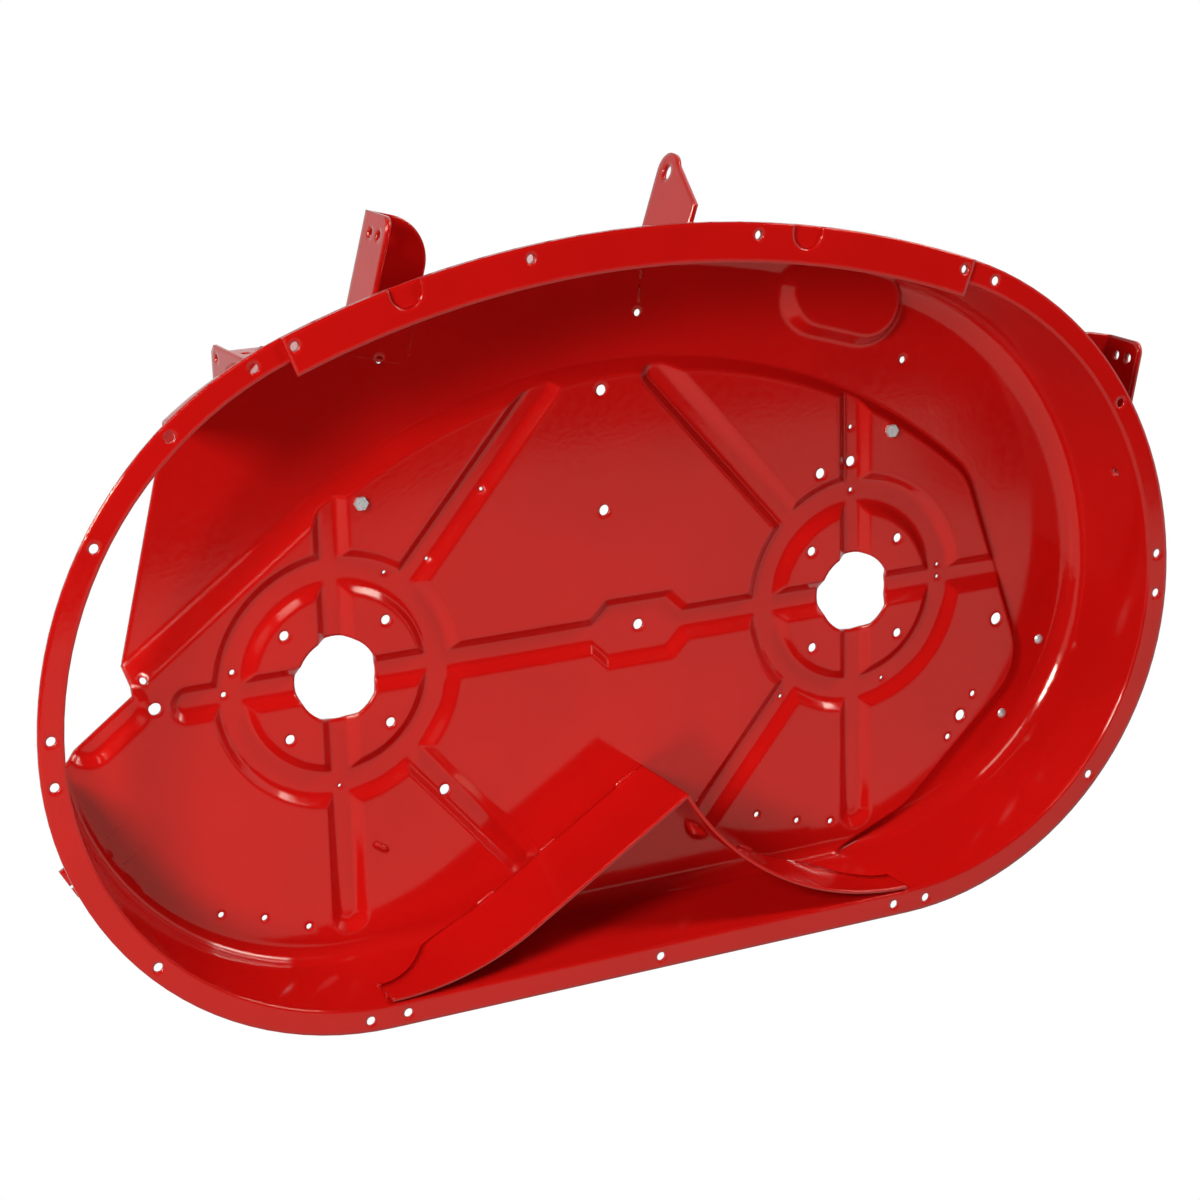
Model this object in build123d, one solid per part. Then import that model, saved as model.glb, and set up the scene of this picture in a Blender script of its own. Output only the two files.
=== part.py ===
"""Lawn mower deck: a pressed steel shell for two blades, with its welded strip, baffle and brackets.

X runs along the line of the two spindles, away from the discharge mouth. Y runs to the rear, Z up.
The pieces are made with the rim's underside at Z = 0 and the spindles at Y = 0. At the end they are
moved together, so that the origin is the bottom centre of the whole deck.
"""
import os
from math import acos, atan2, cos, degrees, hypot, radians, sin, tan

from build123d import *

# Sheet and plate thicknesses
SHEET = 2.5
STRIP_PLATE = 3.0
BAFFLE_PLATE = 2.5
BRACKET_PLATE = 4.0
HANGER_PLATE = 4.0
HINGE_PLATE = 3.0

# Spindle seats
SPINDLE_SPACING = 477.5
BOLT_SQUARE = 85.7
BOLT_HOLE = 8.0
SPINDLE_OPENING = 69.0

# Rim, as seen from above: round about the spindles at the rear, with a shallow bow at the front
REAR_RADIUS = 266.5
FRONT_REACH = 349.5
FRONT_BULGE = 34.5
FLANGE_WIDTH = 20.0
RIM_HOLE = 7.5
REAR_HOLE_OFFSETS = (-12.75, 19.25)
SIDE_HOLE_ANGLES = (4, -4, 42.8)
CORNER_HOLE_ANGLES = (31.0, 64.3)
MOUTH_SIDE_HOLE_ANGLE = 49.3
FRONT_HOLE_STEP = 100.0
END_HOLE_BACK = 6.9

# Skirt
DECK_DEPTH = 84.5
WALL_DRAFT = 8.5
FRONT_DRAFT = 4.5
PANEL_FILLET = 14.0

# Tunnel that leads the clippings to the mouth; its roof climbs towards the mouth
TUNNEL_RISE = 14.0
TUNNEL_TILT = 0.9
TUNNEL_FILLET = 20.0

# Riser between panel and tunnel: x from a spindle or the middle and distance behind the front rim,
# then along the side the bearing from the right spindle and the distance inside the rim
RISER_SLOPE = 38.0
RISER_CORNER = 50.0
RISER_BEARING = 144.0
RISER_LEFT_BEHIND = 178.9
RISER_MIDDLE = (30.0, 132.0)
RISER_RIGHT = (113.25, 182.4)
RISER_SIDE = ((28.0, 70.3), (75.8, 57.1))
RISER_REAR = (-48.75, 22.5)

# Discharge mouth, open above a low curl along the flange: the front edge by angle on the corner arc
# and distance beyond the rim, the other points along the riser's line and outside it
CURL_HEIGHT = 7.0
MOUTH_FRONT = ((56.1, 34.3), (52.1, -28.7), (51.0, -42.1))
MOUTH_CORNER = (198.1, 15.3)
LIP_START = (208.0, -3.4)
LIP_RIB = (12.0, 46.0)
LIP_HALF_WIDTH = 22.0

# Stiffening ribs, raised above the panel; their ends keep these distances from the rim
RIB_HEIGHT = 7.0
RIB_SLOPE = 50.0
RIB_HALF_WIDTH = 15.5
RIB_ROUND = 5.0
RING_INNER = 70.0
RING_OUTER = 106.0
RIB_REAR_GAP = 66.5
RIB_FRONT_GAP = 169.5
RIB_SIDE_GAP = 114.5
RIB_STUB_GAP = 142.5
FRONT_DIAGONAL = (49.0, 134.4)
REAR_DIAGONAL = (49.5, 85.5)
HEX_PAD_X = 30.0
HEX_PAD = (106.0, 60.0, 22.0)

# Holes through the panel: x and y from a spindle or the middle, and diameter
LEFT_HOLES = ((-151, -1, 10), (-158, -24, 5), (-85, -18, 4.5), (-93, -1, 4.5), (90, 111, 9), (132, -137, 3),
              (83, -86, 3), (46, -80, 3), (-1, 91, 3))
MIDDLE_HOLES = ((0, -106, 9), (32, -2, 9))
RIGHT_HOLES = ((-34, -110, 9), (0, -115, 9), (0, -145, 4), (0, -90, 4), (146, 46, 11), (109, 130, 10),
               (122, 112, 5.5), (96, 148, 5.5), (88, -11, 3.5), (88, 0, 3.5), (31, 84, 3.5), (-71, 84, 3.5))

# Holes along the baffle's foot: x from the middle and distance inside the rear rim
REAR_HOLES = ((139, 81.5), (179, 68.5), (213, 61.5), (-348, 88.5), (-312, 78.5), (-275, 63.5))
REAR_HOLE = 5.0

# Holes near the front: x, distance behind the front rim, and diameter
FRONT_HOLES = ((0, 143.5, 9), (-184, 80.9, 6), (41, 85.5, 6), (292, 101.6, 6))
SLIT = (29.0, 147.0, 14.0, 3.0)
SLIT_TURN = 35.0
WALL_HOLE = (-17.7, 27.0, 7.0)

# Dent pressed down into the front of the tunnel roof: its x from the right spindle, and its distance
# behind the front rim
DENT_PLACE = (-6.75, 59.5)
DENT_TURN = 17.0
DENT_SIZE = (118.0, 74.0)
DENT_DEPTH = 11.0
DENT_SLOPE = 40.0

# Baffle behind the blades: two legs that meet in a cusp, at a setback from the rear rim
BAFFLE_SETBACK = 23.5
CUSP_X = 28.0

# Strip under the front of the flange
STRIP_WIDTH = 31.5
NOTCH_WIDTH = 26.0
NOTCH_DEPTH = 19.0
NOTCH_X = (-209.0, 146.0)

# Gauge wheel brackets: the left one's front corner by x, the right one's by angle on the corner arc,
# both with the distance beyond the rim; then the heading from straight ahead and the hand
GAUGE_LEFT = (-187.0, 37.1)
GAUGE_LEFT_HEADING = 15.5
GAUGE_RIGHT = (31.2, 60.5)
GAUGE_RIGHT_HEADING = 12.0
GAUGE_LEG = 45.0
GAUGE_LEG_LENGTH = 130.0
GAUGE_TOP = (57.0, 112.0)
GAUGE_TOP_CORNER = 36.0
GAUGE_LEG_CORNER = 11.0
GAUGE_HOLE = 8.7
GAUGE_HOLE_SPACING = 17.5
GAUGE_HOLE_BACK = 16.0

# Front hanger plate: its tip by x and distance beyond the rim, and heights from the panel's underside
HANGER_TIP = (71.0, 44.4)
HANGER_HEADING = 19.0
HANGER_EYE = 16.0
HANGER_HOLE = 13.0
HANGER_TOP = 21.0
HANGER_BASE = -52.5
HANGER_SHOULDER = 35.0
HANGER_LENGTH = 105.0

# Hinge bracket of the discharge chute: its corner by x and distance inside the rim, and heights from
# the panel's underside
HINGE_CORNER = (-310.0, 21.3)
HINGE_LEG = 38.0
HINGE_EAR = 34.0
HINGE_EAR_CHAMFER = 6.0
HINGE_BASE = -22.5
HINGE_LEG_TOP = 15.5
HINGE_EAR_TOP = 49.5
HINGE_HOLE = 6.5
HINGE_HOLE_DROP = 12.0

# Lift tab at the rear, on the mouth side: its tip's distance inside the rim
TAB_ANGLE = 150.5
TAB_INSET = 3.5
TAB_LENGTH = 73.0
TAB_WIDTH = 26.0
TAB_SLOT = (4.0, 22.0)

# Fasteners: rivets in the tunnel roof by bearing from the right spindle and distance inside the rim,
# and hex bolts at the riser's foot by x and distance behind the front rim
RIVET_ANGLES = (20.8, 41.2)
RIVET_INSET = 56.0
RIVET_SHANK = 4.8
RIVET_HEAD = (4.5, 2.8)
BOLT_PLACES = ((-213.0, 181.7), (274.0, 165.5))
BOLT_SHANK = 6.0
BOLT_HEAD = (10.0, 4.0)
BOLT_LENGTH = 20.0
FASTENER_CLEARANCE = 0.2

HALF = SPINDLE_SPACING / 2
LEFT_SPINDLE = (-HALF, 0)
RIGHT_SPINDLE = (HALF, 0)
CORNER_RADIUS = FRONT_REACH - FRONT_BULGE
RIM_HOLE_INSET = FLANGE_WIDTH / 2
BAFFLE_RADIUS = REAR_RADIUS - BAFFLE_SETBACK
PANEL_TOP = DECK_DEPTH + SHEET
BELOW = -1.0
ABOVE = DECK_DEPTH + 4 * TUNNEL_RISE
FAR = 2 * REAR_RADIUS
ROOF_NORMAL = (sin(radians(TUNNEL_TILT)), 0, cos(radians(TUNNEL_TILT)))


def polar(centre, radius, angle):
    """Point at a distance and an angle in degrees from a centre."""
    return (centre[0] + radius * cos(radians(angle)), centre[1] + radius * sin(radians(angle)))


def drill(x, y, diameter, low=BELOW, high=ABOVE):
    """Upright cylinder that cuts a hole."""
    return extrude(Pos(x, y, low) * Circle(diameter / 2), high - low)


def rim_arcs(inset, front_inset):
    """Centres, radii and sweep of the corner arcs and the front arc, which all meet smoothly."""
    corner = CORNER_RADIUS - (inset + front_inset) / 2
    corner_x = HALF + REAR_RADIUS - inset - corner
    bulge = FRONT_REACH - front_inset - corner
    front_y = (corner_x**2 - bulge**2) / (2 * bulge)
    front = front_y + FRONT_REACH - front_inset
    return corner, corner_x, front, front_y, degrees(atan2(front_y, corner_x))


_, CORNER_X, FRONT_RADIUS, FRONT_Y, CORNER_SWEEP = rim_arcs(0, 0)
STRIP_SWEEP = 90 - CORNER_SWEEP


def behind_front(x, distance):
    """Point at x, at a distance behind the rim's front edge."""
    if abs(x) <= FRONT_RADIUS * sin(radians(STRIP_SWEEP)):
        return (x, FRONT_Y - (FRONT_RADIUS**2 - x**2) ** 0.5 + distance)
    return (x, distance - (CORNER_RADIUS**2 - (abs(x) - CORNER_X) ** 2) ** 0.5)


def off_corner(side, angle, beyond):
    """Point beyond the rim's corner arc, on the left (-1) or the right (1)."""
    x, y = polar((CORNER_X, 0), CORNER_RADIUS + beyond, -angle)
    return (side * x, y)


RISER_LEFT = behind_front(-HALF, RISER_LEFT_BEHIND)


def beside_riser(along, outside):
    """Point along the riser's line from the left spindle to the mouth, and outside it."""
    return polar(polar(RISER_LEFT, along, RISER_BEARING), outside, RISER_BEARING + 90)


def rim_face(inset, front_inset=None):
    """The rim's outline drawn in by inset: rear line, spindle arcs, corner arcs and front arc."""
    rear = REAR_RADIUS - inset
    corner, corner_x, front, front_y, sweep = rim_arcs(inset, inset if front_inset is None else front_inset)
    return make_face([
        Line((-HALF, rear), (HALF, rear)),
        CenterArc(RIGHT_SPINDLE, rear, 0, 90),
        CenterArc((corner_x, 0), corner, -sweep, sweep),
        CenterArc((0, front_y), front, 180 + sweep, 180 - 2 * sweep),
        CenterArc((-corner_x, 0), corner, 180, sweep),
        CenterArc(LEFT_SPINDLE, rear, 90, 90),
    ])


def skirt_block(outset):
    """Drafted block that fills the skirt up to well above the roof, grown outwards by outset."""
    def level(z):
        inset = FLANGE_WIDTH - outset + z * tan(radians(WALL_DRAFT))
        front_inset = FLANGE_WIDTH - outset + z * tan(radians(FRONT_DRAFT))
        return Pos(0, 0, z) * rim_face(inset, front_inset)
    base = BELOW if outset == 0 else 0
    return loft([level(base), level(ABOVE)], ruled=True)


def roof_plane(height):
    """Tilted plane of the tunnel roof, at a height above its underside."""
    return Plane(origin=(0, 0, DECK_DEPTH + TUNNEL_RISE), z_dir=ROOF_NORMAL).offset(height)


def roof_height(x):
    """Level of the top of the tunnel roof at x."""
    return DECK_DEPTH + TUNNEL_RISE + SHEET - x * tan(radians(TUNNEL_TILT))


def round_top(block, radius):
    """Round the edges of the block's top face."""
    return fillet(block.faces().sort_by(Axis.Z)[-1].edges(), radius)


def island(base, inset):
    """The panel's outline as a tool: upright up to base, then widening like the riser."""
    start = polar(RISER_LEFT, FAR, RISER_BEARING)
    middle = behind_front(*RISER_MIDDLE)
    right = behind_front(HALF + RISER_RIGHT[0], RISER_RIGHT[1])
    side = [polar(RIGHT_SPINDLE, REAR_RADIUS - gap, bearing) for bearing, gap in RISER_SIDE]
    rear = (HALF + RISER_REAR[0], REAR_RADIUS - RISER_REAR[1])
    outline = make_face([
        Line(start, RISER_LEFT),
        ThreePointArc(RISER_LEFT, middle, right),
        Polyline(right, *side, rear, (rear[0], FAR), (start[0], FAR), start),
    ])
    rounded = [outline.vertices().sort_by_distance(corner)[0] for corner in (right, *side)]
    outline = fillet(rounded, RISER_CORNER)
    outline = offset(outline, -inset) if inset else outline
    upper = extrude(Pos(0, 0, base) * outline, ABOVE - base, taper=-RISER_SLOPE)
    return upper + extrude(Pos(0, 0, BELOW - 1) * outline, base - BELOW + 1)


def filled(outset):
    """Skirt, panel and tunnel as one solid: the hollow itself, or with outset its outer skin."""
    block = skirt_block(outset)
    low = split(block, Plane.XY.offset(DECK_DEPTH + outset), keep=Keep.BOTTOM)
    low = round_top(low, PANEL_FILLET + outset)
    high = split(block, roof_plane(outset), keep=Keep.BOTTOM)
    high = round_top(high, TUNNEL_FILLET + outset)
    foot = outset * tan(radians(90 - RISER_SLOPE) / 2)
    return low + (high - island(DECK_DEPTH + outset, foot)) - dent(SHEET - outset)


def dent(skin):
    """Tool for the dent in the tunnel roof; with skin it is the lower face of the same dent."""
    growth = 2 * skin * (tan(radians(90 - DENT_SLOPE) / 2) + tan(radians(DENT_SLOPE)))
    height = DENT_DEPTH + skin
    growth += 2 * DENT_DEPTH * tan(radians(DENT_SLOPE))
    outline = SlotOverall(DENT_SIZE[0] + growth, DENT_SIZE[1] + growth, rotation=DENT_TURN)
    x, y = behind_front(HALF + DENT_PLACE[0], DENT_PLACE[1])
    start = roof_height(x) + DENT_DEPTH
    return extrude(Pos(x, y, start) * outline, -(height + DENT_DEPTH), taper=DENT_SLOPE)


def rib_growth(skin):
    """How far the outside of a rib stands out beyond its inside, at the panel's underside."""
    return skin * (tan(radians(90 - RIB_SLOPE) / 2) + tan(radians(RIB_SLOPE)))


def raised(outline, skin):
    """Outline raised from the panel's underside with the slope of the ribs and a rounded top."""
    block = extrude(Pos(0, 0, DECK_DEPTH) * outline, RIB_HEIGHT + skin, taper=RIB_SLOPE)
    return round_top(block, RIB_ROUND + skin)


def bar(start, end, half_width, skin):
    """Raised bar with round ends and sloping sides; with skin it is the outside of the same rib."""
    along = (end[0] - start[0], end[1] - start[1])
    slot = SlotCenterToCenter(hypot(*along), 2 * (half_width + rib_growth(skin)),
                              rotation=degrees(atan2(along[1], along[0])))
    return raised(Pos(start[0] + along[0] / 2, start[1] + along[1] / 2) * slot, skin)


def ring(x, skin):
    """Round rib about a spindle."""
    growth = rib_growth(skin)
    height = RIB_HEIGHT + skin
    run = height * tan(radians(RIB_SLOPE))
    inner = RING_INNER - growth
    outer = RING_OUTER + growth
    section = make_face(Polyline((inner, 0), (outer, 0), (outer - run, height), (inner + run, height),
                                 close=True))
    section = fillet(section.vertices().sort_by(Axis.Y)[-2:], RIB_ROUND + skin)
    return Pos(x, 0, DECK_DEPTH) * revolve(Plane.XZ * section, Axis.Z)


def ribs(skin):
    """All the ribs of the panel."""
    stub = (-HALF - REAR_RADIUS + RIB_STUB_GAP, 0)
    shapes = [bar(stub, (HALF + REAR_RADIUS - RIB_SIDE_GAP, 0), RIB_HALF_WIDTH, skin)]
    for side in (-1, 1):
        x = side * HALF
        shapes.append(ring(x, skin))
        front_end = (x, RIB_FRONT_GAP - FRONT_REACH)
        shapes.append(bar(front_end, (x, REAR_RADIUS - RIB_REAR_GAP), RIB_HALF_WIDTH, skin))
        for reach, (angle, gap) in ((-FRONT_REACH, FRONT_DIAGONAL), (REAR_RADIUS, REAR_DIAGONAL)):
            turn = 1 if reach > 0 else -1
            bearing = turn * (90 + side * (90 - angle))
            length = (abs(reach) - gap) / sin(radians(angle))
            shapes.append(bar(polar((x, 0), RING_OUTER - RIB_HALF_WIDTH, bearing),
                              polar((x, 0), length, bearing), RIB_HALF_WIDTH, skin))
    length, width, corner = HEX_PAD
    growth = 2 * rib_growth(skin)
    pad = chamfer(Rectangle(length + growth, width + growth).vertices(), corner)
    shapes.append(raised(Pos(HEX_PAD_X, 0) * pad, skin))
    lip = beside_riser(*LIP_START)
    ends = [polar(lip, reach, RISER_BEARING) for reach in LIP_RIB]
    shapes.append(bar(*ends, LIP_HALF_WIDTH, skin))
    return shapes


def mouth():
    """Upright tool that opens the discharge mouth above the curl of the flange."""
    front = [off_corner(-1, angle, beyond) for angle, beyond in MOUTH_FRONT]
    lip = beside_riser(*LIP_START)
    far = polar(lip, FAR, RISER_BEARING)
    outline = make_face(Polyline(*front, beside_riser(*MOUTH_CORNER), lip, far, (far[0], front[0][1]),
                                 close=True))
    return extrude(Pos(0, 0, CURL_HEIGHT) * outline, ABOVE)


def rim_hole_places():
    """Centres of the holes in the flange."""
    places = [(0, REAR_RADIUS - RIM_HOLE_INSET)]
    for side in (-1, 1):
        for step in REAR_HOLE_OFFSETS:
            places.append((side * (HALF + step), REAR_RADIUS - RIM_HOLE_INSET))
        for angle in SIDE_HOLE_ANGLES:
            x, y = polar(RIGHT_SPINDLE, REAR_RADIUS - RIM_HOLE_INSET, angle)
            places.append((side * x, y))
        for angle in CORNER_HOLE_ANGLES if side > 0 else (*CORNER_HOLE_ANGLES, MOUTH_SIDE_HOLE_ANGLE):
            places.append(off_corner(side, angle, -RIM_HOLE_INSET))
    return places


def strip_hole_places():
    """Centres of the holes that go through the flange and the front strip."""
    steps = (degrees(FRONT_HOLE_STEP / FRONT_RADIUS), STRIP_SWEEP - degrees(END_HOLE_BACK / FRONT_RADIUS))
    reach = FRONT_RADIUS - RIM_HOLE_INSET
    return [polar((0, FRONT_Y), reach, -90 + side * step) for side in (-1, 1) for step in steps]


def bolt_places():
    """Centres of the two hex bolts."""
    return [behind_front(x, distance) for x, distance in BOLT_PLACES]


def rivet_places():
    """Centres of the two rivets."""
    return [polar(RIGHT_SPINDLE, REAR_RADIUS - RIVET_INSET, angle) for angle in RIVET_ANGLES]


def panel_holes():
    """Centres and diameters of the plain holes in the panel and the tunnel roof."""
    holes = []
    for centre, group in ((-HALF, LEFT_HOLES), (0, MIDDLE_HOLES), (HALF, RIGHT_HOLES)):
        holes += [(centre + x, y, diameter) for x, y, diameter in group]
    holes += [(x, REAR_RADIUS - inside, REAR_HOLE) for x, inside in REAR_HOLES]
    holes += [(*behind_front(x, distance), diameter) for x, distance, diameter in FRONT_HOLES]
    holes += [(x, y, BOLT_SHANK + FASTENER_CLEARANCE) for x, y in bolt_places()]
    holes += [(x, y, RIVET_SHANK + FASTENER_CLEARANCE) for x, y in rivet_places()]
    for side in (-1, 1):
        holes.append((side * HALF, 0, SPINDLE_OPENING))
        for dx in (-BOLT_SQUARE / 2, BOLT_SQUARE / 2):
            for dy in (-BOLT_SQUARE / 2, BOLT_SQUARE / 2):
                holes.append((side * HALF + dx, dy, BOLT_HOLE))
    return holes


def deck_shell():
    """The pressing: skirt with flange, panel with ribs, tunnel, mouth and holes."""
    shell = shell_outside + ribs(SHEET) + flange
    shell = shell - shell_hollow - ribs(0) - mouth()
    cuts = [drill(*hole, CURL_HEIGHT) for hole in panel_holes()]
    cuts += [drill(x, y, RIM_HOLE, BELOW, CURL_HEIGHT) for x, y in rim_hole_places() + strip_hole_places()]
    x, y, length, width = SLIT
    slit = Pos(x - HALF, y, CURL_HEIGHT) * SlotOverall(length, width, rotation=SLIT_TURN)
    cuts.append(extrude(slit, ABOVE))
    angle, height, diameter = WALL_HOLE
    outwards = Plane(origin=(CORNER_X, 0, height), z_dir=(cos(radians(angle)), sin(radians(angle)), 0))
    cuts.append(extrude(outwards * Circle(diameter / 2), CORNER_RADIUS))
    return shell - cuts


def front_strip():
    """Flat strip under the front of the flange, with two notches in its outer edge."""
    inner = FRONT_RADIUS - STRIP_WIDTH
    ends = [polar((0, FRONT_Y), radius, -90 + sign * STRIP_SWEEP)
            for radius in (inner, FRONT_RADIUS) for sign in (-1, 1)]
    outline = make_face([
        CenterArc((0, FRONT_Y), inner, -90 - STRIP_SWEEP, 2 * STRIP_SWEEP),
        Line(ends[1], ends[3]),
        CenterArc((0, FRONT_Y), FRONT_RADIUS, -90 - STRIP_SWEEP, 2 * STRIP_SWEEP),
        Line(ends[0], ends[2]),
    ])
    for x in NOTCH_X:
        bearing = -90 + degrees(atan2(x, FRONT_RADIUS))
        root = polar((0, FRONT_Y), FRONT_RADIUS - NOTCH_DEPTH + NOTCH_WIDTH / 2, bearing)
        end = polar((0, FRONT_Y), FRONT_RADIUS + NOTCH_WIDTH, bearing)
        length = hypot(end[0] - root[0], end[1] - root[1])
        middle = Pos((root[0] + end[0]) / 2, (root[1] + end[1]) / 2)
        outline -= middle * SlotCenterToCenter(length, NOTCH_WIDTH, rotation=bearing)
    strip = extrude(outline, -STRIP_PLATE)
    return strip - [drill(x, y, RIM_HOLE, -STRIP_PLATE - 1, 1) for x, y in strip_hole_places()]


def baffle():
    """Upright plate from the panel down to the rim, trimmed to the hollow of the shell."""
    cusp = (CUSP_X, (BAFFLE_RADIUS**2 - (HALF - CUSP_X) ** 2) ** 0.5)
    spread = hypot(cusp[0] + HALF, cusp[1])
    tangent = degrees(atan2(cusp[1], cusp[0] + HALF) + acos(BAFFLE_RADIUS / spread))
    cusp_angle = degrees(atan2(cusp[1], cusp[0] - HALF))
    left = CenterArc(LEFT_SPINDLE, BAFFLE_RADIUS, tangent, 90 - tangent)
    straight = Line(polar(LEFT_SPINDLE, BAFFLE_RADIUS, tangent), cusp)
    right = CenterArc(RIGHT_SPINDLE, BAFFLE_RADIUS, 90, cusp_angle - 90)
    plate = extrude(trace([left, straight, right], BAFFLE_PLATE), DECK_DEPTH)
    return plate & shell_hollow


def on_outside(plate):
    """Trim a plate to the outside of the shell, where it is welded on."""
    return plate - shell_outside - ribs(SHEET) - flange


def gauge_bracket(corner, heading, hand):
    """Angle bracket for a gauge wheel: a leg with two holes, and a top that lies on the tunnel roof."""
    x, y = corner
    a = radians(heading)
    frame = Plane(origin=(x, y, roof_height(x)), x_dir=(cos(a), sin(a), 0), z_dir=ROOF_NORMAL)
    width, length = GAUGE_TOP
    top = Pos(hand * width / 2, length / 2) * Rectangle(width, length)
    inner_front = top.vertices().sort_by(Axis.Y)[:2].sort_by(Axis.X)[-1 if hand > 0 else 0]
    top = fillet(inner_front, GAUGE_TOP_CORNER)
    side = Plane.YZ * Pos(GAUGE_LEG_LENGTH / 2, (BRACKET_PLATE - GAUGE_LEG) / 2) * Rectangle(
        GAUGE_LEG_LENGTH, GAUGE_LEG + BRACKET_PLATE)
    side = fillet(side.vertices().sort_by(Axis.Z)[:2].sort_by(Axis.Y)[0], GAUGE_LEG_CORNER)
    plate = extrude(top, BRACKET_PLATE) + extrude(side, hand * BRACKET_PLATE)
    for up in (-0.5, 0.5):
        centre = Pos(0, GAUGE_HOLE_BACK, up * GAUGE_HOLE_SPACING - GAUGE_LEG / 2)
        plate -= centre * Rot(0, 90, 0) * Cylinder(GAUGE_HOLE / 2, 4 * BRACKET_PLATE)
    return on_outside(frame * plate)


def front_hanger():
    """Upright plate with an eye at its tip, welded edge-on to the front of the skirt."""
    x, distance = HANGER_TIP
    a = radians(HANGER_HEADING)
    frame = Plane(origin=(*behind_front(x, -distance), DECK_DEPTH), x_dir=(sin(a), -cos(a), 0),
                  z_dir=(-cos(a), -sin(a), 0))
    eye = (-HANGER_EYE, HANGER_TOP - HANGER_EYE)
    foot = (-HANGER_SHOULDER, HANGER_BASE)
    slant = atan2(eye[1] - foot[1], eye[0] - foot[0])
    slant += acos(0) - acos(HANGER_EYE / hypot(eye[0] - foot[0], eye[1] - foot[1]))
    touch = polar(eye, HANGER_EYE, degrees(slant) - 90)
    outline = make_face(Polyline((-HANGER_LENGTH, HANGER_TOP), (-HANGER_LENGTH, HANGER_BASE), foot, touch,
                                 eye, (eye[0], HANGER_TOP), close=True))
    outline = outline + Pos(*eye) * Circle(HANGER_EYE) - Pos(*eye) * Circle(HANGER_HOLE / 2)
    return on_outside(extrude(frame * outline, -HANGER_PLATE))


def chute_hinge_bracket():
    """Folded bracket: a leg across the front of the skirt, and an ear that stands above the roof."""
    x, y = behind_front(*HINGE_CORNER)
    leg_height = HINGE_LEG_TOP - HINGE_BASE
    leg = Plane.XZ * Pos(HINGE_LEG / 2, leg_height / 2) * Rectangle(HINGE_LEG, leg_height)
    leg -= Plane.XZ * Pos(HINGE_HOLE + HINGE_PLATE, leg_height / 2) * Circle(HINGE_HOLE / 2)
    ear_height = HINGE_EAR_TOP - HINGE_BASE
    ear = Plane.YZ * Pos(HINGE_EAR / 2, ear_height / 2) * Rectangle(HINGE_EAR, ear_height)
    ear = chamfer(ear.vertices().sort_by(Axis.Z)[-2:], HINGE_EAR_CHAMFER)
    ear -= Plane.YZ * Pos(HINGE_HOLE + HINGE_PLATE, ear_height - HINGE_HOLE_DROP) * Circle(HINGE_HOLE / 2)
    plate = extrude(leg, -HINGE_PLATE) + extrude(ear, HINGE_PLATE)
    return on_outside(Pos(x, y, DECK_DEPTH + HINGE_BASE) * plate)


def lift_tab():
    """Flat forked tab on the panel, reaching out over the skirt."""
    tip = REAR_RADIUS - TAB_INSET
    outline = Pos(tip - TAB_LENGTH / 2, 0) * Rectangle(TAB_LENGTH, TAB_WIDTH)
    width, depth = TAB_SLOT
    outline -= Pos(tip - depth / 2, -TAB_WIDTH / 8) * Rectangle(depth, width)
    return Pos(-HALF, 0, PANEL_TOP) * Rot(0, 0, TAB_ANGLE) * extrude(outline, BRACKET_PLATE)


def roof_rivet(x, y):
    """Rivet through the tunnel roof: a domed head below and a flat one above."""
    radius, rise = RIVET_HEAD
    sphere = (radius**2 + rise**2) / (2 * rise)
    dome = Pos(0, 0, sphere - rise) * Sphere(sphere) & Pos(0, 0, -rise / 2) * Cylinder(radius, rise)
    shank = Pos(0, 0, SHEET / 2) * Cylinder(RIVET_SHANK / 2, SHEET)
    cap = Pos(0, 0, SHEET + rise / 4) * Cylinder(0.75 * radius, rise / 2)
    frame = Plane(origin=(x, y, roof_height(x) - SHEET), z_dir=ROOF_NORMAL)
    return frame * (dome + shank + cap)


def hex_bolt(x, y):
    """Hex bolt through the panel, with its head under the panel."""
    across, height = BOLT_HEAD
    head = extrude(RegularPolygon(across / 2, 6, major_radius=False), -height)
    shank = extrude(Circle(BOLT_SHANK / 2), BOLT_LENGTH)
    return Pos(x, y, DECK_DEPTH) * (head + shank)


flange = extrude(rim_face(0) - rim_face(FLANGE_WIDTH), SHEET)
shell_outside = filled(SHEET)
shell_hollow = filled(0)
left_gauge_corner = behind_front(GAUGE_LEFT[0], -GAUGE_LEFT[1])

pieces = {
    "deck_shell": [deck_shell()],
    "front_strip": [front_strip()],
    "baffle": [baffle()],
    "left_gauge_bracket": [gauge_bracket(left_gauge_corner, GAUGE_LEFT_HEADING, 1)],
    "right_gauge_bracket": [gauge_bracket(off_corner(1, *GAUGE_RIGHT), GAUGE_RIGHT_HEADING, -1)],
    "front_hanger": [front_hanger()],
    "chute_hinge_bracket": [chute_hinge_bracket()],
    "lift_tab": [lift_tab()],
    "roof_rivets": [roof_rivet(*place) for place in rivet_places()],
    "hex_bolts": [hex_bolt(*place) for place in bolt_places()],
}

solids = {name: [solid for shape in shapes for solid in shape.solids()] for name, shapes in pieces.items()}
box = Compound([solid for group in solids.values() for solid in group]).bounding_box()
to_origin = Pos(-(box.min.X + box.max.X) / 2, -(box.min.Y + box.max.Y) / 2, -box.min.Z)
os.makedirs("parts", exist_ok=True)
for name, group in solids.items():
    placed = [to_origin * solid for solid in group]
    export_step(placed[0] if len(placed) == 1 else Compound(placed), f"parts/{name}.step")
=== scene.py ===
import bmesh
import bpy
from mathutils import Matrix, Vector


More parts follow.
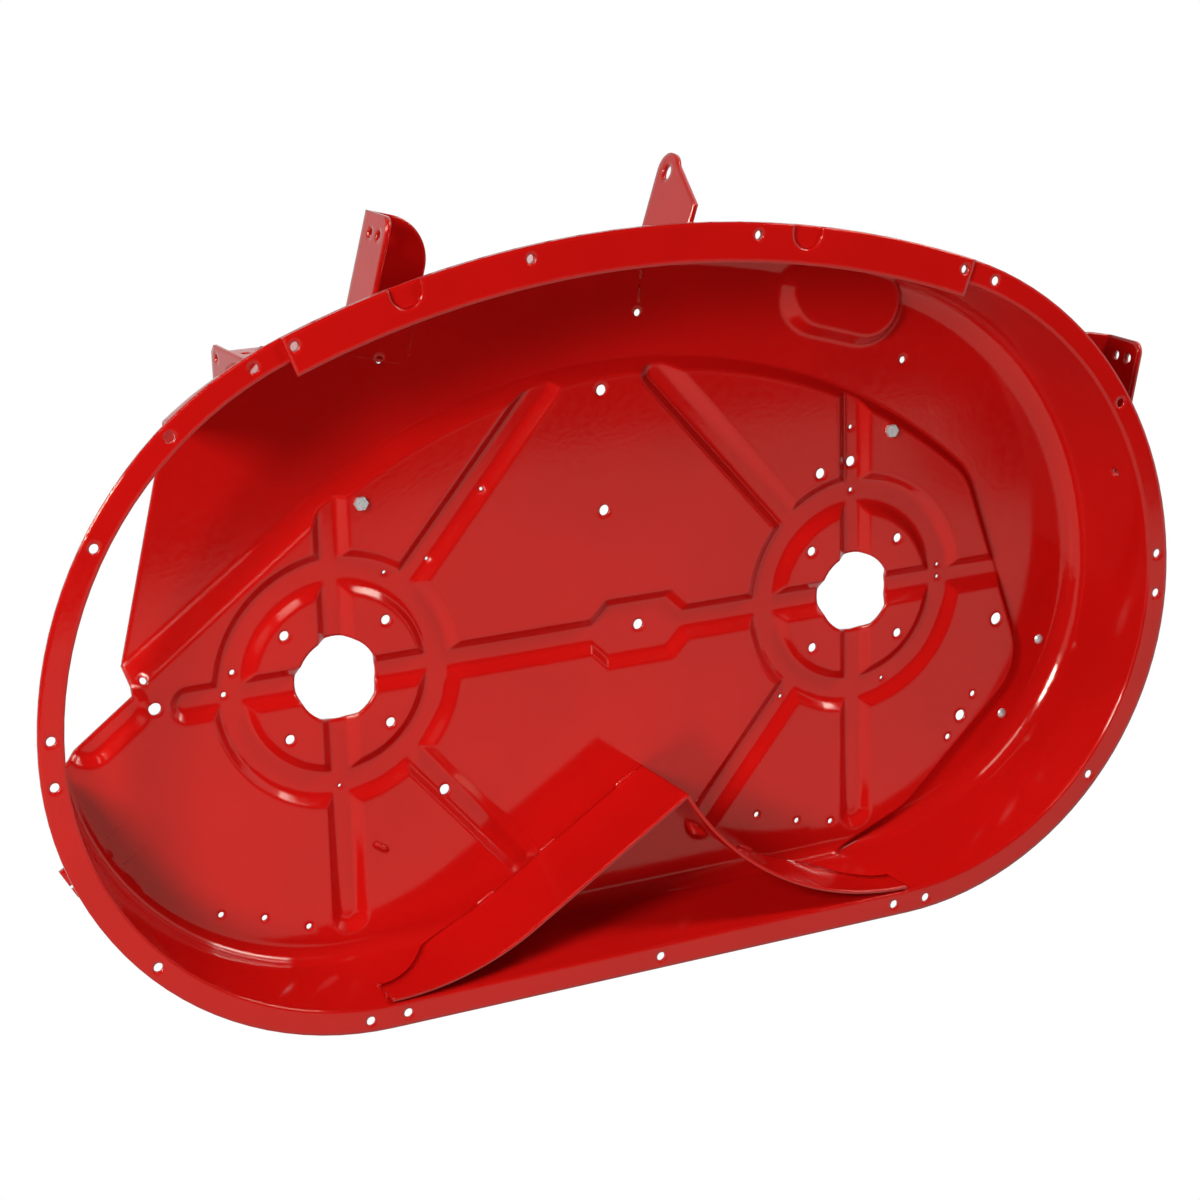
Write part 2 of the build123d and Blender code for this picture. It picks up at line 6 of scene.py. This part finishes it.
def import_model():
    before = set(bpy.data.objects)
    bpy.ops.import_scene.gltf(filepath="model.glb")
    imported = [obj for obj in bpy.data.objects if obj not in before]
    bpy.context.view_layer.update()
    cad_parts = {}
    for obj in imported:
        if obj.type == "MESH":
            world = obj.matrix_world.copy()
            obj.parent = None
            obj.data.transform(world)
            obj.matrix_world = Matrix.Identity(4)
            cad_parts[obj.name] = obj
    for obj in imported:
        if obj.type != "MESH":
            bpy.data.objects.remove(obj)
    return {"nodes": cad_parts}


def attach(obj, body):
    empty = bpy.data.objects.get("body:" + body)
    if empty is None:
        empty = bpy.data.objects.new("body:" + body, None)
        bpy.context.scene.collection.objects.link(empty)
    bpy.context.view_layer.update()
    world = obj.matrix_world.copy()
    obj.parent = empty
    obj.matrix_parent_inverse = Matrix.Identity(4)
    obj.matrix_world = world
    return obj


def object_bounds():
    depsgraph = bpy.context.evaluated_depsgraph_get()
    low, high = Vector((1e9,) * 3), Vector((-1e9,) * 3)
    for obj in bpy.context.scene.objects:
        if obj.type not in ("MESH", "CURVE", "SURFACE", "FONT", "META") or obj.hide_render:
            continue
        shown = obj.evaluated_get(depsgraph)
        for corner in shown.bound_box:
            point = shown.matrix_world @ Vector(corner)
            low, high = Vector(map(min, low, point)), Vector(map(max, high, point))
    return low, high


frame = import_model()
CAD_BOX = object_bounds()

scene = bpy.context.scene
scene.view_settings.view_transform = "Standard"

# Red enamel: the colour, its darkest and lightest share, roughness where clean and dusty.
RED = (0.49, 0.0045, 0.0035)
RED_DRIFT = (0.94, 1.05)
RED_ROUGHNESS = (0.06, 0.13)
RED_SHINE = 0.33
RED_SHINE_TINT = (1.0, 0.9, 0.74, 1.0)
RED_EDGE_RADIUS = 0.005
NOISE_SPAN = (0.3, 0.7)

# Zinc plate: the darkest and lightest cells of its spangle, and the pieces that carry it.
ZINC_TONES = ((0.52, 0.51, 0.49), (0.74, 0.73, 0.71))
ZINC_NODES = ("roof_rivets", "hex_bolts")

# Weld beads, in metres: distance between rings, points on a ring, how steeply and how far ends taper.
BEAD_STEP = 0.0007
BEAD_RING_POINTS = 10
BEAD_TAPER = 9.0
BEAD_TIP = 0.2
FULL_TURN = 6.2832
BEAD_SIZES = {"Bead Radius": 0.0024, "Ripple Pitch": 0.0028, "Ripple Depth": 0.16,
              "Spatter": 0.0009, "Seed": 3.0}
SEAM_SIZES = {**BEAD_SIZES, "Bead Radius": 0.0017, "Ripple Depth": 0.3, "Spatter": 0.002}

# Foot of the baffle's straight arm, in millimetres: its left end, its direction and its level.
ARM_X, ARM_Y = -115.0, 268.0
ARM_WAY_X, ARM_WAY_Y = 0.8513, -0.5249
BAFFLE_FOOT = 87.5

# Studio, in metres: floor, flag and lamps.
FLOOR_REACH = 6.0
FLOOR_GAP = 0.0005
FLOOR_FADE = (0.6, 2.0)
FLOOR_GREY = (0.86, 0.86, 0.86, 1.0)
FLAG_REACH = 6.0
FLAG_LEVEL = -2.6
FLAG_EDGE = [(FLAG_REACH, 0.84), (2.4, 0.84), (2.08, 0.8), (1.95, 0.58), (1.1, 0.58), (0.55, 0.72),
             (-FLAG_REACH, 1.0)]
FLAG_BLACK = (0.01, 0.01, 0.01, 1.0)
SOFT_LIGHT = 0.2
WHITE = (1.0, 1.0, 1.0, 1.0)
LAMP_DISTANCE = 3.0
BOX_SIZE = (0.9, 0.6)


class Nodes:
    """Small helper to write a node tree as calls."""

    def __init__(self, tree):
        self.tree = tree
        tree.nodes.clear()

    def add(self, kind, inputs=None, **settings):
        node = self.tree.nodes.new(kind)
        for key, value in settings.items():
            setattr(node, key, value)
        for key, value in (inputs or {}).items():
            socket = node.inputs[key]
            if isinstance(value, bpy.types.NodeSocket):
                self.tree.links.new(value, socket)
            else:
                socket.default_value = value
        return node

    def math(self, operation, *values):
        return self.add("ShaderNodeMath", dict(enumerate(values)), operation=operation).outputs[0]

    def noise(self, place, scale, detail):
        inputs = {"Vector": place, "Scale": scale, "Detail": detail}
        return self.add("ShaderNodeTexNoise", inputs).outputs["Fac"]

    def ramp(self, fac, stops):
        node = self.add("ShaderNodeValToRGB", {"Fac": fac})
        for element, (place, colour) in zip(node.color_ramp.elements, stops):
            element.position = place
            element.color = (*colour, 1.0)
        return node.outputs["Color"]


def new_material(name):
    """Material without nodes yet, and the helper that adds them."""
    material = bpy.data.materials.new(name)
    material.use_nodes = True
    return material, Nodes(material.node_tree)


def new_object(name, data):
    """Object in the scene for a mesh, a light or a camera."""
    obj = bpy.data.objects.new(name, data)
    scene.collection.objects.link(obj)
    return obj


def enamel(name):
    """Gloss red: slow colour drift, orange peel, fine dust in the roughness and softened edges."""
    material, n = new_material(name)
    place = n.add("ShaderNodeTexCoord").outputs["Object"]
    drift = n.noise(place, 9.0, 3.0)
    dark, light = (tuple(c * share for c in RED) for share in RED_DRIFT)
    base = n.ramp(drift, zip(NOISE_SPAN, (dark, light)))
    dust = n.noise(place, 160.0, 4.0)
    roughness = n.add("ShaderNodeMapRange", {
        "Value": dust, "From Min": NOISE_SPAN[0], "From Max": NOISE_SPAN[1],
        "To Min": RED_ROUGHNESS[0], "To Max": RED_ROUGHNESS[1]}).outputs["Result"]
    peel = n.noise(place, 260.0, 1.0)
    edges = n.add("ShaderNodeBevel", {"Radius": RED_EDGE_RADIUS}, samples=12).outputs["Normal"]
    normal = n.add("ShaderNodeBump", {
        "Strength": 0.12, "Distance": 0.0002, "Height": peel, "Normal": edges}).outputs["Normal"]
    shader = n.add("ShaderNodeBsdfPrincipled", {
        "Base Color": base, "Roughness": roughness, "Normal": normal,
        "Specular IOR Level": RED_SHINE, "Specular Tint": RED_SHINE_TINT})
    n.add("ShaderNodeOutputMaterial", {"Surface": shader.outputs["BSDF"]})
    return material


def zinc(name):
    """Zinc plate with a faint spangle."""
    material, n = new_material(name)
    place = n.add("ShaderNodeTexCoord").outputs["Object"]
    cells = n.add("ShaderNodeTexVoronoi", {"Vector": place, "Scale": 700.0}).outputs["Color"]
    tone = n.ramp(cells, zip((0.0, 1.0), ZINC_TONES))
    shader = n.add("ShaderNodeBsdfPrincipled", {
        "Base Color": tone, "Metallic": 0.6, "Roughness": 0.4})
    n.add("ShaderNodeOutputMaterial", {"Surface": shader.outputs["BSDF"]})
    return material


red_paint = enamel("red_enamel")
zinc_plate = zinc("zinc_plate")
for node in frame["nodes"]:
    piece = bpy.data.objects.get(node)
    if piece is not None:
        piece.data.materials.clear()
        piece.data.materials.append(zinc_plate if node in ZINC_NODES else red_paint)


def weld_tree(metal):
    """Node tree that turns edge paths into rippled weld beads with rounded, uneven ends."""
    tree = bpy.data.node_groups.new("weld_bead", "GeometryNodeTree")
    tree.interface.new_socket("Geometry", in_out="INPUT", socket_type="NodeSocketGeometry")
    for name, value in BEAD_SIZES.items():
        socket = tree.interface.new_socket(name, in_out="INPUT", socket_type="NodeSocketFloat")
        socket.default_value = value
    tree.interface.new_socket("Geometry", in_out="OUTPUT", socket_type="NodeSocketGeometry")
    n = Nodes(tree)
    given = n.add("NodeGroupInput").outputs
    path = n.add("GeometryNodeMeshToCurve", {"Mesh": given["Geometry"]}).outputs["Curve"]
    path = n.add("GeometryNodeResampleCurve", {"Curve": path, "Length": BEAD_STEP},
                 mode="LENGTH").outputs["Curve"]
    along = n.add("GeometryNodeSplineParameter").outputs
    from_end = n.math("MINIMUM", along["Factor"], n.math("SUBTRACT", 1.0, along["Factor"]))
    ends = n.math("MINIMUM", n.math("MULTIPLY", from_end, BEAD_TAPER), 1.0)
    swell = n.math("MAXIMUM", n.math("SQRT", ends), BEAD_TIP)
    turn = n.math("DIVIDE", n.math("MULTIPLY", along["Length"], FULL_TURN), given["Ripple Pitch"])
    ripple = n.math("ADD", n.math("MULTIPLY", n.math("SINE", turn), given["Ripple Depth"]), 1.0)
    radius = n.math("MULTIPLY", n.math("MULTIPLY", swell, ripple), given["Bead Radius"])
    ring = n.add("GeometryNodeCurvePrimitiveCircle", {
        "Resolution": BEAD_RING_POINTS, "Radius": 1.0}).outputs["Curve"]
    bead = n.add("GeometryNodeCurveToMesh", {
        "Curve": path, "Profile Curve": ring, "Scale": radius, "Fill Caps": True}).outputs["Mesh"]
    where = n.add("GeometryNodeInputPosition").outputs["Position"]
    noise = n.add("ShaderNodeTexNoise", {
        "Vector": where, "W": given["Seed"], "Scale": 420.0, "Detail": 2.0},
        noise_dimensions="4D").outputs["Color"]
    push = n.add("ShaderNodeVectorMath", {0: noise, 1: (0.5, 0.5, 0.5)},
                 operation="SUBTRACT").outputs[0]
    push = n.add("ShaderNodeVectorMath", {0: push, "Scale": given["Spatter"]},
                 operation="SCALE").outputs[0]
    bead = n.add("GeometryNodeSetPosition", {"Geometry": bead, "Offset": push}).outputs["Geometry"]
    bead = n.add("GeometryNodeSetShadeSmooth", {"Geometry": bead}).outputs["Geometry"]
    bead = n.add("GeometryNodeRealizeInstances", {"Geometry": bead}).outputs["Geometry"]
    bead = n.add("GeometryNodeSetMaterial", {"Geometry": bead, "Material": metal}).outputs["Geometry"]
    n.add("NodeGroupOutput", {"Geometry": bead})
    return tree


def baffle_foot(start, end):
    """Two points on the foot of the baffle's straight arm, by distance from its left end."""
    return [(ARM_X + ARM_WAY_X * s, ARM_Y + ARM_WAY_Y * s, BAFFLE_FOOT) for s in (start, end)]


# Paths of the beads, in millimetres.
WELDS = {
    "baffle_tack_welds": [
        baffle_foot(135.0, 157.0),
        baffle_foot(50.0, 68.0),
        [(-130.6, 276.9, BAFFLE_FOOT), (-123.0, 272.7, BAFFLE_FOOT), (-114.9, 267.9, BAFFLE_FOOT)],
        [(116.9, 272.8, BAFFLE_FOOT), (123.9, 276.6, BAFFLE_FOOT), (130.8, 280.0, BAFFLE_FOOT)],
        [(-241.9, 303.6, 35.0), (-241.9, 304.2, 31.0)],
        [(-241.9, 305.9, 17.0), (-241.9, 306.3, 13.0)],
        [(-218.4, 205.3, 88.4), (-207.4, 213.1, 88.4)],
    ],
    "hanger_welds": [
        [(46.2, -265.8, 36.0), (44.9, -262.0, 82.6), (44.1, -259.8, 90.7), (42.4, -254.9, 97.5),
         (40.1, -247.9, 101.8), (37.3, -240.0, 103.4), (33.9, -230.0, 103.4)],
        [(50.3, -265.5, 36.0), (49.0, -261.8, 82.5), (48.3, -259.6, 90.7), (46.6, -254.6, 97.4),
         (44.2, -247.7, 101.8), (41.5, -239.8, 103.3), (37.9, -229.4, 103.3)],
    ],
    "hanger_seam": [
        [(41.9, -239.0, 101.5), (40.9, -228.5, 101.5)],
        [(40.5, -224.0, 101.5), (39.0, -208.5, 101.6)],
    ],
    "left_gauge_bracket_welds": [
        [(-209.1, -237.8, 63.0), (-209.5, -235.1, 86.9), (-210.1, -232.2, 95.4),
         (-211.7, -226.2, 102.0), (-213.8, -218.4, 106.0), (-216.2, -209.8, 107.3),
         (-216.4, -195.0, 107.3)],
        [(-204.6, -239.0, 63.0), (-205.0, -236.4, 86.8)],
        [(-215.0, -194.4, 107.3), (-190.7, -187.6, 106.9), (-166.3, -180.9, 106.5)],
        [(-164.8, -181.8, 106.5), (-158.9, -203.2, 106.4), (-153.0, -224.4, 106.3)],
    ],
    "right_gauge_bracket_welds": [
        [(431.2, -44.0, 97.2), (429.3, -34.5, 97.2), (437.0, -33.0, 97.0)],
    ],
    "chute_hinge_welds": [
        [(-313.1, -201.0, 66.0), (-313.1, -197.8, 89.1), (-313.1, -195.0, 97.0),
         (-313.1, -189.4, 103.2), (-313.1, -182.1, 107.3), (-313.1, -174.5, 108.8)],
        [(-297.4, -207.8, 66.0), (-289.8, -207.8, 88.6), (-287.3, -207.8, 92.8),
         (-283.7, -207.8, 95.9)],
    ],
    "lift_tab_welds": [
        [(-442.0, 160.5, 90.0), (-415.0, 145.3, 90.0)],
        [(-430.0, 183.6, 90.0), (-403.0, 168.4, 90.0)],
    ],
}


def weld_beads(name, paths, tree, sizes):
    """Beads along the given paths, made one plain mesh that rides with the deck."""
    points, edges = [], []
    for path in paths:
        edges += [(len(points) + i, len(points) + i + 1) for i in range(len(path) - 1)]
        points += [tuple(c / 1000.0 for c in point) for point in path]
    mesh = bpy.data.meshes.new(name + "_paths")
    mesh.from_pydata(points, edges, [])
    lines = new_object(name + "_paths", mesh)
    nodes = lines.modifiers.new("weld_bead", "NODES")
    nodes.node_group = tree
    sockets = {item.name: item.identifier for item in tree.interface.items_tree
               if item.in_out == "INPUT"}
    for size, value in sizes.items():
        nodes[sockets[size]] = value
    depsgraph = bpy.context.evaluated_depsgraph_get()
    plain = bpy.data.meshes.new_from_object(lines.evaluated_get(depsgraph))
    bpy.data.objects.remove(lines)
    shape = bmesh.new()
    shape.from_mesh(plain)
    bmesh.ops.recalc_face_normals(shape, faces=shape.faces)
    shape.to_mesh(plain)
    shape.free()
    plain.name = name
    beads = new_object(name, plain)
    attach(beads, "root")


bead_tree = weld_tree(red_paint)
for weld, paths in WELDS.items():
    weld_beads(weld, paths, bead_tree, SEAM_SIZES if weld == "hanger_seam" else BEAD_SIZES)


def floor():
    """Pale floor that fades into the white round the deck.

    It is seen only from above, so that the view from below is open.
    """
    s = FLOOR_REACH
    mesh = bpy.data.meshes.new("floor")
    mesh.from_pydata([(-s, -s, 0), (s, -s, 0), (s, s, 0), (-s, s, 0)], [], [(0, 1, 2, 3)])
    obj = new_object("floor", mesh)
    obj.location.z = CAD_BOX[0][2] - FLOOR_GAP
    material, n = new_material("floor")
    rays = n.add("ShaderNodeLightPath").outputs
    below = n.add("ShaderNodeNewGeometry").outputs["Backfacing"]
    seen = n.math("MULTIPLY", rays["Is Camera Ray"], n.math("SUBTRACT", 1.0, below))
    place = n.add("ShaderNodeTexCoord").outputs["Object"]
    away = n.add("ShaderNodeVectorMath", {0: place}, operation="LENGTH").outputs["Value"]
    near = n.add("ShaderNodeMapRange", {
        "Value": away, "From Min": FLOOR_FADE[0], "From Max": FLOOR_FADE[1],
        "To Min": 1.0, "To Max": 0.0}, interpolation_type="SMOOTHSTEP").outputs["Result"]
    clear = n.add("ShaderNodeBsdfTransparent").outputs["BSDF"]
    matt = n.add("ShaderNodeBsdfDiffuse", {"Color": FLOOR_GREY}).outputs["BSDF"]
    mix = n.add("ShaderNodeMixShader", {0: n.math("MULTIPLY", seen, near), 1: clear, 2: matt})
    n.add("ShaderNodeOutputMaterial", {"Surface": mix.outputs[0]})
    mesh.materials.append(material)


def flag():
    """Black studio flag below and in front of the deck, seen in reflections alone.

    Beyond its edge all is white.
    """
    r = FLAG_REACH
    mesh = bpy.data.meshes.new("flag")
    ground = [(x, y, FLAG_LEVEL) for x, y in [(-r, -r), (r, -r)] + FLAG_EDGE]
    front = [(r, -r, 0.0), (-r, -r, 0.0)]
    count = len(ground)
    mesh.from_pydata(ground + front, [], [tuple(range(count)), (1, 0, count + 1, count)])
    obj = new_object("flag", mesh)
    material, n = new_material("flag")
    cloth = n.add("ShaderNodeBsdfDiffuse", {"Color": FLAG_BLACK}).outputs["BSDF"]
    n.add("ShaderNodeOutputMaterial", {"Surface": cloth})
    mesh.materials.append(material)
    for ray in ("camera", "diffuse", "transmission", "volume_scatter", "shadow"):
        setattr(obj, "visible_" + ray, False)


def world():
    """Soft light from all round, white to the camera and in reflections."""
    studio = bpy.data.worlds.new("studio")
    scene.world = studio
    studio.use_nodes = True
    n = Nodes(studio.node_tree)
    rays = n.add("ShaderNodeLightPath").outputs
    seen = n.math("MAXIMUM", rays["Is Camera Ray"], rays["Is Glossy Ray"])
    seen = n.math("MAXIMUM", seen, rays["Is Transmission Ray"])
    soft = n.add("ShaderNodeBackground", {"Color": WHITE, "Strength": SOFT_LIGHT}).outputs[0]
    white = n.add("ShaderNodeBackground", {"Color": WHITE, "Strength": 1.0}).outputs[0]
    mix = n.add("ShaderNodeMixShader", {0: seen, 1: soft, 2: white}).outputs[0]
    n.add("ShaderNodeOutputWorld", {"Surface": mix})


def lamp(name, direction, size, power, glint=False):
    """Rectangular soft lamp turned to the deck.

    A glint shows only in reflections; any other lamp only lights the surfaces.
    """
    data = bpy.data.lights.new(name, "AREA")
    data.shape = "RECTANGLE"
    data.size, data.size_y = size
    data.energy = power
    obj = new_object(name, data)
    way = Vector(direction).normalized()
    obj.location = way * LAMP_DISTANCE
    obj.rotation_euler = way.to_track_quat("Z", "Y").to_euler()
    obj.visible_glossy = glint
    obj.visible_diffuse = not glint


def camera():
    """Camera at the photograph's viewpoint, below the deck on the mouth side."""
    data = bpy.data.cameras.new("camera")
    data.sensor_width = 36.0
    data.lens = 85.79
    data.clip_end = 50.0
    obj = new_object("camera", data)
    right = Vector((0.89551, 0.02612, -0.44428))
    down = Vector((-0.14562, 0.96052, -0.23704))
    ahead = Vector((0.42055, 0.27697, 0.86396))
    turn = Matrix((right, -down, -ahead)).transposed()
    place = Vector((-1.00016, -0.62077, -1.9477))
    obj.matrix_world = Matrix.Translation(place) @ turn.to_4x4()
    scene.camera = obj


floor()
flag()
world()
lamp("left_box", (-0.763, -0.406, -0.502), BOX_SIZE, 68.0)
lamp("right_box", (0.55, -0.78, -0.3), BOX_SIZE, 53.0)
lamp("rear_fill", (-0.5, 0.3, -0.81), BOX_SIZE, 29.0)
lamp("top", (0.15, 0.35, 0.92), (1.5, 1.5), 75.0)
lamp("left_glint", (-0.83, -0.505, -0.22), (0.75, 1.1), 200.0, glint=True)
lamp("front_glint", (-0.42, -0.79, -0.43), (1.2, 0.6), 20.0, glint=True)
lamp("right_glint", (0.72, -0.67, -0.2), (1.1, 0.7), 46.0, glint=True)
camera()
